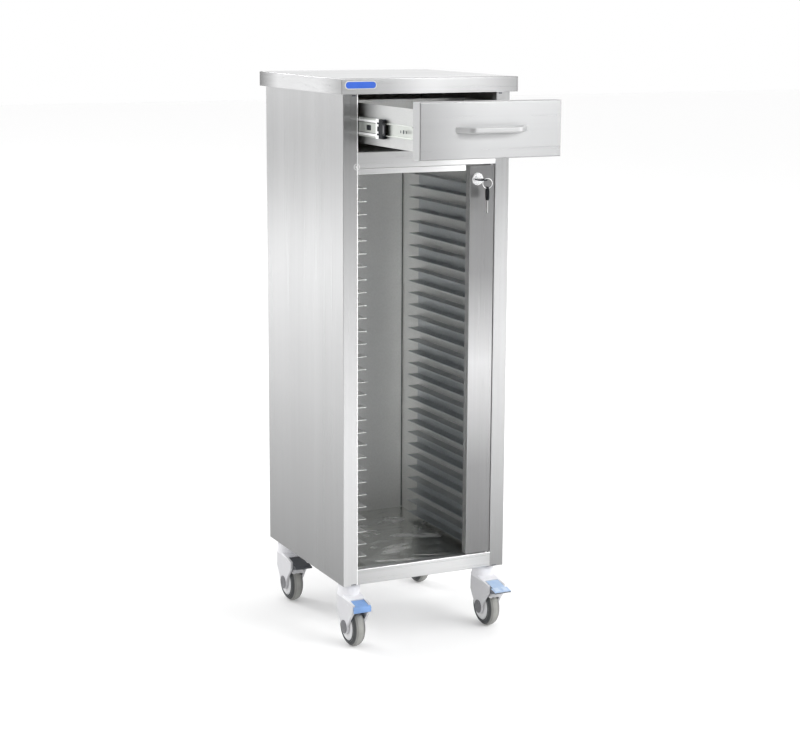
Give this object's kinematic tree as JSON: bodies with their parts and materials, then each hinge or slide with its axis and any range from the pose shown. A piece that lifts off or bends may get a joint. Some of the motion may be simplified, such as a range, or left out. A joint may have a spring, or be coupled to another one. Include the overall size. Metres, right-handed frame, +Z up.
{
  "type": "medical record trolley",
  "caption": "Tall narrow steel cabinet on castors with ledges for record folders, a drawer under the worktop and a hinged lock bar.",
  "frame": {"origin": "on the floor, at the middle of the plan outline of the trolley with its drawer pulled open", "axes": "+Z up; the front, with the drawer and the lock bar, faces -Y; +X to the right of someone who faces the front"},
  "size_m": [0.4592, 0.8306, 1.367],
  "materials": {
    "shell_steel": "fine vertical brushing",
    "worktop_steel": "fine lengthwise brushing",
    "drawer_steel": "fine horizontal brushing",
    "inner_steel": "mill finish, slightly mottled",
    "handle_steel": "satin",
    "bar_steel": "fine vertical brushing",
    "core_board": "plain board, hidden inside the worktop",
    "slide_zinc": "bright zinc plate",
    "black_plastic": "satin moulded",
    "lock_chrome": "polished",
    "lock_brass": "dull nickel-plated brass",
    "fixing_steel": "bright zinc plate",
    "key_steel": "nickel plate",
    "fork_nylon": "light grey moulded nylon",
    "core_plastic": "light grey moulded plastic",
    "cap_plastic": "dark grey moulded plastic",
    "tyre_grey": "soft grey rubber",
    "pedal_blue": "mid blue moulded plastic",
    "pedal_pale_blue": "pale blue moulded plastic",
    "pedal_charcoal": "charcoal moulded plastic"
  },
  "bodies": {
    "cabinet": {"left_side_panel": "shell_steel", "right_side_panel": "shell_steel", "back_panel": "shell_steel", "floor_pan": "inner_steel", "divider_shelf": "inner_steel", "bottom_rail": "shell_steel", "divider_rail": "shell_steel", "divider_stop_strip": "shell_steel", "base_panel": "shell_steel", "left_liner": "inner_steel", "right_liner": "inner_steel", "left_chart_rails": "inner_steel", "right_chart_rails": "inner_steel", "worktop": "worktop_steel", "worktop_core": "core_board", "slide_brackets": "fixing_steel", "left_slide_outer": "slide_zinc", "right_slide_outer": "slide_zinc", "bar_hinge_pins": "fixing_steel", "caster_plates": "fixing_steel", "caster_stems": "fixing_steel", "caster_nuts": "fixing_steel"},
    "drawer": {"drawer_front": "drawer_steel", "drawer_box": "inner_steel", "drawer_handle": "handle_steel", "left_slide_inner": "slide_zinc", "right_slide_inner": "slide_zinc"},
    "slide_middles": {"left_slide_middle": "slide_zinc", "right_slide_middle": "slide_zinc", "slide_bumpers": "black_plastic"},
    "lock_bar_body": {"lock_bar": "bar_steel", "lock_housing": "lock_chrome", "lock_nut": "lock_brass"},
    "lock_plug_body": {"lock_plug": "lock_chrome", "lock_cam": "fixing_steel", "turned_key_bow": "black_plastic", "turned_key_blade": "key_steel"},
    "key_ring_body": {"key_ring": "key_steel"},
    "spare_key_body": {"spare_key_bow": "black_plastic", "spare_key_blade": "key_steel"},
    "front_left_fork_body": {"front_left_fork": "fork_nylon", "front_left_axle": "cap_plastic"},
    "front_left_wheel": {"front_left_wheel_core": "core_plastic", "front_left_tyre": "tyre_grey"},
    "front_left_pedal": {"front_left_brake_pedal": "pedal_blue"},
    "front_right_fork_body": {"front_right_fork": "fork_nylon", "front_right_axle": "cap_plastic"},
    "front_right_wheel": {"front_right_wheel_core": "core_plastic", "front_right_tyre": "tyre_grey"},
    "front_right_pedal": {"front_right_brake_pedal": "pedal_pale_blue"},
    "rear_left_fork_body": {"rear_left_fork": "fork_nylon", "rear_left_axle": "cap_plastic"},
    "rear_left_wheel": {"rear_left_wheel_core": "core_plastic", "rear_left_tyre": "tyre_grey"},
    "rear_left_pedal": {"rear_left_brake_pedal": "pedal_charcoal"},
    "rear_right_fork_body": {"rear_right_fork": "fork_nylon", "rear_right_axle": "cap_plastic"},
    "rear_right_wheel": {"rear_right_wheel_core": "core_plastic", "rear_right_tyre": "tyre_grey"},
    "rear_right_pedal": {"rear_right_brake_pedal": "pedal_charcoal"}
  },
  "joints": [
    {"name": "drawer_slide", "type": "slide", "parent": "cabinet", "child": "drawer", "axis": [0, -1, 0], "range_m": [-0.3116, 0.085]},
    {"name": "slide_middles_slide", "type": "slide", "parent": "cabinet", "child": "slide_middles", "axis": [0, -1, 0], "range_m": [-0.17917, 0.04888]},
    {"name": "lock_bar_hinge", "type": "hinge", "parent": "cabinet", "child": "lock_bar_body", "pos_m": [0.171, -0.0682, 0.678], "axis": [0, 0, 1], "range_deg": [0, 105]},
    {"name": "lock_turn", "type": "hinge", "parent": "lock_bar_body", "child": "lock_plug_body", "pos_m": [0.1322, -0.0727, 1.1256], "axis": [0, -1, 0], "range_deg": [0, 90]},
    {"name": "key_ring_swing", "type": "hinge", "parent": "lock_plug_body", "child": "key_ring_body", "pos_m": [0.14295, -0.1032, 1.1256], "axis": [-0.1908, -0.9816, 0], "range_deg": [-60, 60]},
    {"name": "spare_key_swing", "type": "hinge", "parent": "key_ring_body", "child": "spare_key_body", "pos_m": [0.14295, -0.1032, 1.10545], "axis": [-0.9816, 0.1908, 0], "range_deg": [-12, 60]},
    {"name": "front_left_swivel", "type": "hinge", "parent": "cabinet", "child": "front_left_fork_body", "pos_m": [-0.1844, -0.0291, 0.14], "axis": [0, 0, 1], "continuous": true},
    {"name": "front_left_roll", "type": "hinge", "parent": "front_left_fork_body", "child": "front_left_wheel", "pos_m": [-0.1844, -0.0512, 0.05], "axis": [1, 0, 0], "continuous": true},
    {"name": "front_left_brake", "type": "hinge", "parent": "front_left_fork_body", "child": "front_left_pedal", "pos_m": [-0.1844, -0.0751, 0.112], "axis": [1, 0, 0], "range_deg": [-16, 0]},
    {"name": "front_right_swivel", "type": "hinge", "parent": "cabinet", "child": "front_right_fork_body", "pos_m": [0.1844, -0.0291, 0.14], "axis": [0, 0, 1], "continuous": true},
    {"name": "front_right_roll", "type": "hinge", "parent": "front_right_fork_body", "child": "front_right_wheel", "pos_m": [0.1844, -0.0512, 0.05], "axis": [1, 0, 0], "continuous": true},
    {"name": "front_right_brake", "type": "hinge", "parent": "front_right_fork_body", "child": "front_right_pedal", "pos_m": [0.1844, -0.0751, 0.112], "axis": [1, 0, 0], "range_deg": [0, 16]},
    {"name": "rear_left_swivel", "type": "hinge", "parent": "cabinet", "child": "rear_left_fork_body", "pos_m": [-0.1844, 0.3607, 0.14], "axis": [0, 0, 1], "continuous": true},
    {"name": "rear_left_roll", "type": "hinge", "parent": "rear_left_fork_body", "child": "rear_left_wheel", "pos_m": [-0.1844, 0.3386, 0.05], "axis": [1, 0, 0], "continuous": true},
    {"name": "rear_left_brake", "type": "hinge", "parent": "rear_left_fork_body", "child": "rear_left_pedal", "pos_m": [-0.1844, 0.3147, 0.112], "axis": [1, 0, 0], "range_deg": [0, 16]},
    {"name": "rear_right_swivel", "type": "hinge", "parent": "cabinet", "child": "rear_right_fork_body", "pos_m": [0.1844, 0.3607, 0.14], "axis": [0, 0, 1], "continuous": true},
    {"name": "rear_right_roll", "type": "hinge", "parent": "rear_right_fork_body", "child": "rear_right_wheel", "pos_m": [0.1844, 0.3386, 0.05], "axis": [1, 0, 0], "continuous": true},
    {"name": "rear_right_brake", "type": "hinge", "parent": "rear_right_fork_body", "child": "rear_right_pedal", "pos_m": [0.1844, 0.3147, 0.112], "axis": [1, 0, 0], "range_deg": [0, 16]}
  ],
  "couplings": [
    {"joint": "slide_middles_slide", "follows": "drawer_slide", "ratio": 0.575}
  ]
}
